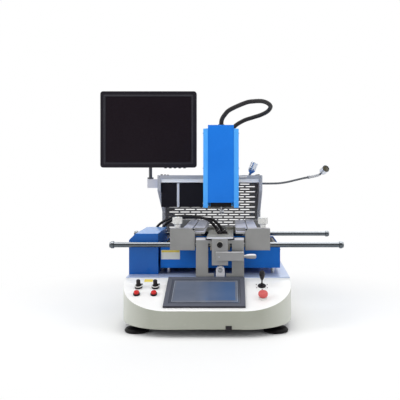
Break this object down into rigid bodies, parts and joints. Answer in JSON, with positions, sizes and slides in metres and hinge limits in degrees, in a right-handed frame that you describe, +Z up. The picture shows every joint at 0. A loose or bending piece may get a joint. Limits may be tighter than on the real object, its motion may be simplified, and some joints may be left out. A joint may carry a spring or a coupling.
{
  "type": "bga rework station",
  "caption": "Bench rework station for grid-array chips: a screw-lifted hot-air head on a portal over a preheater with sliding board clamps, touch panel, joystick, swivelling monitor and lamps.",
  "frame": {"origin": "middle of the model's plan on the floor under the feet", "axes": "+Z up, +X to the operator's right, -Y towards the operator"},
  "size_m": [0.8232, 0.7516, 0.742],
  "materials": {
    "white_paint": "satin powder coat",
    "pan_steel": "plain sheet",
    "deck_grey": "satin",
    "foot_rubber": "matte",
    "panel_black": "fine texture",
    "touch_glass": "gloss",
    "black_plastic": "fine texture",
    "blue_paint": "satin powder coat",
    "portal_paint": "satin powder coat",
    "post_steel": "turned",
    "ceramic": "matte fired ceramic",
    "grid_steel": "heat darkened",
    "grey_alloy": "fine bead blast",
    "trim_grey": "satin",
    "vent_dark": "satin",
    "beam_light": "anodised",
    "motor_black": "satin",
    "gland_black": "moulded",
    "cable_black": "matte",
    "neck_steel": "wound steel",
    "lamp_chrome": "polished",
    "heater_steel": "heat tinted",
    "nozzle_black": "heat-proof black",
    "fitting_steel": "turned",
    "optics_black": "satin black",
    "knob_alloy": "knurled",
    "lever_alloy": "fine bead blast",
    "button_red": "gloss",
    "monitor_black": "gloss",
    "monitor_glass": "anti-glare"
  },
  "bodies": {
    "station": {"base_shell": "white_paint", "base_pan": "pan_steel", "deck_plate": "deck_grey", "levelling_feet": "foot_rubber", "hmi_bezel": "panel_black", "hmi_screen": "touch_glass", "usb_cap": "black_plastic", "panel_collars": "black_plastic", "side_cabinet": "blue_paint", "preheater_tray": "blue_paint", "preheater_posts": "post_steel", "heater_tiles": "ceramic", "preheater_grid": "grid_steel", "front_bracket": "grey_alloy", "guide_rods": "post_steel", "rod_holders": "grey_alloy", "rod_end_caps": "post_steel", "stop_lug": "grey_alloy", "gantry_shell": "portal_paint", "gantry_trim": "trim_grey", "gantry_back_panel": "vent_dark", "optics_beam": "beam_light", "lift_mount": "grey_alloy", "lift_motor": "motor_black", "monitor_bracket": "grey_alloy", "cable_glands": "gland_black", "carrier_cable_1": "cable_black", "carrier_cable_2": "cable_black", "mains_gland": "gland_black", "lamp_necks": "neck_steel", "lamp_heads": "lamp_chrome"},
    "head": {"head_housing": "blue_paint", "head_cover": "blue_paint", "head_carriage": "grey_alloy", "heater_core": "heater_steel", "nozzle_adapter": "nozzle_black", "head_fittings": "fitting_steel", "head_hose": "cable_black"},
    "pickup": {"pickup_rod": "post_steel"},
    "screw": {"lift_screw": "post_steel"},
    "optics": {"optics_box": "optics_black"},
    "left_clamp": {"left_clamp_blocks": "grey_alloy", "left_arm": "grey_alloy"},
    "left_clamp_knob": {"left_knob": "knob_alloy"},
    "right_clamp": {"right_clamp_blocks": "grey_alloy", "right_arm": "grey_alloy"},
    "right_clamp_knob": {"right_knob": "knob_alloy"},
    "nozzle_lift_carrier": {"nozzle_carrier": "grey_alloy", "lower_nozzle": "heater_steel"},
    "lever": {"lift_lever": "lever_alloy"},
    "stick_gimbal": {"joystick_boot": "black_plastic"},
    "stick": {"joystick": "black_plastic"},
    "stop_button": {"estop_button": "button_red"},
    "push_button_1": {"red_button_1": "button_red"},
    "push_button_2": {"red_button_2": "button_red"},
    "dial_1": {"dial_knob_1": "black_plastic"},
    "dial_2": {"dial_knob_2": "black_plastic"},
    "pole": {"monitor_pole": "post_steel"},
    "monitor": {"monitor_housing": "monitor_black", "monitor_screen": "monitor_glass"}
  },
  "joints": [
    {"name": "head_lift", "type": "slide", "parent": "station", "child": "head", "axis": [0, 0, 1], "range_m": [-0.034, 0.05], "deforming": ["head_hose"]},
    {"name": "screw_turn", "type": "hinge", "parent": "station", "child": "screw", "pos_m": [0.02143, 0.10275, 0.33], "axis": [0, 0, 1], "range_deg": [-1240, 1820]},
    {"name": "pickup_drop", "type": "slide", "parent": "head", "child": "pickup", "axis": [0, 0, 1], "range_m": [-0.012, 0.006]},
    {"name": "optics_slide", "type": "slide", "parent": "station", "child": "optics", "axis": [1, 0, 0], "range_m": [0, 0.15]},
    {"name": "left_clamp_slide", "type": "slide", "parent": "station", "child": "left_clamp", "axis": [1, 0, 0], "range_m": [-0.05, 0.022]},
    {"name": "right_clamp_slide", "type": "slide", "parent": "station", "child": "right_clamp", "axis": [1, 0, 0], "range_m": [-0.022, 0.2]},
    {"name": "left_knob_turn", "type": "hinge", "parent": "left_clamp", "child": "left_clamp_knob", "pos_m": [-0.10857, -0.17825, 0.281], "axis": [0, 0, 1], "range_deg": [-180, 180]},
    {"name": "right_knob_turn", "type": "hinge", "parent": "right_clamp", "child": "right_clamp_knob", "pos_m": [0.15143, -0.17825, 0.281], "axis": [0, 0, 1], "range_deg": [-180, 180]},
    {"name": "nozzle_lift", "type": "slide", "parent": "station", "child": "nozzle_lift_carrier", "axis": [0, 0, 1], "range_m": [-0.002, 0.006], "deforming": ["carrier_cable_1", "carrier_cable_2"]},
    {"name": "lever_turn", "type": "hinge", "parent": "nozzle_lift_carrier", "child": "lever", "pos_m": [0.01943, -0.21885, 0.201], "axis": [0, -1, 0], "range_deg": [-10.5, 30.5]},
    {"name": "joystick_x", "type": "hinge", "parent": "station", "child": "stick_gimbal", "pos_m": [0.14443, -0.2519, 0.11689], "axis": [1, 0, 0], "range_deg": [-18, 18], "stiffness_Nm_per_rad": 0.6},
    {"name": "joystick_y", "type": "hinge", "parent": "stick_gimbal", "child": "stick", "pos_m": [0.14443, -0.2519, 0.11689], "axis": [0, 0.9386, 0.3449], "range_deg": [-18, 18], "stiffness_Nm_per_rad": 0.6},
    {"name": "estop_press", "type": "slide", "parent": "station", "child": "stop_button", "axis": [0, 0.3449, -0.9386], "range_m": [0, 0.004]},
    {"name": "red_button_1_press", "type": "slide", "parent": "station", "child": "push_button_1", "axis": [0, 0.3449, -0.9386], "range_m": [0, 0.003], "stiffness_N_per_m": 400, "springref_m": -0.001},
    {"name": "red_button_2_press", "type": "slide", "parent": "station", "child": "push_button_2", "axis": [0, 0.3449, -0.9386], "range_m": [0, 0.003], "stiffness_N_per_m": 400, "springref_m": -0.001},
    {"name": "dial_1_turn", "type": "hinge", "parent": "station", "child": "dial_1", "pos_m": [-0.21355, -0.25925, 0.11526], "axis": [0, -0.3449, 0.9386], "range_deg": [-150, 150]},
    {"name": "dial_2_turn", "type": "hinge", "parent": "station", "child": "dial_2", "pos_m": [-0.16455, -0.25925, 0.11526], "axis": [0, -0.3449, 0.9386], "range_deg": [-150, 150]},
    {"name": "monitor_swivel", "type": "hinge", "parent": "station", "child": "pole", "pos_m": [-0.23907, 0.16875, 0.4], "axis": [0, 0, 1], "range_deg": [-60, 60]},
    {"name": "monitor_tilt", "type": "hinge", "parent": "pole", "child": "monitor", "pos_m": [-0.23907, 0.16175, 0.6], "axis": [1, 0, 0], "range_deg": [-20, 3]}
  ],
  "couplings": [
    {"joint": "screw_turn", "follows": "head_lift", "rad_per_m": 628.32},
    {"joint": "lever_turn", "follows": "nozzle_lift", "rad_per_m": 87.266}
  ]
}
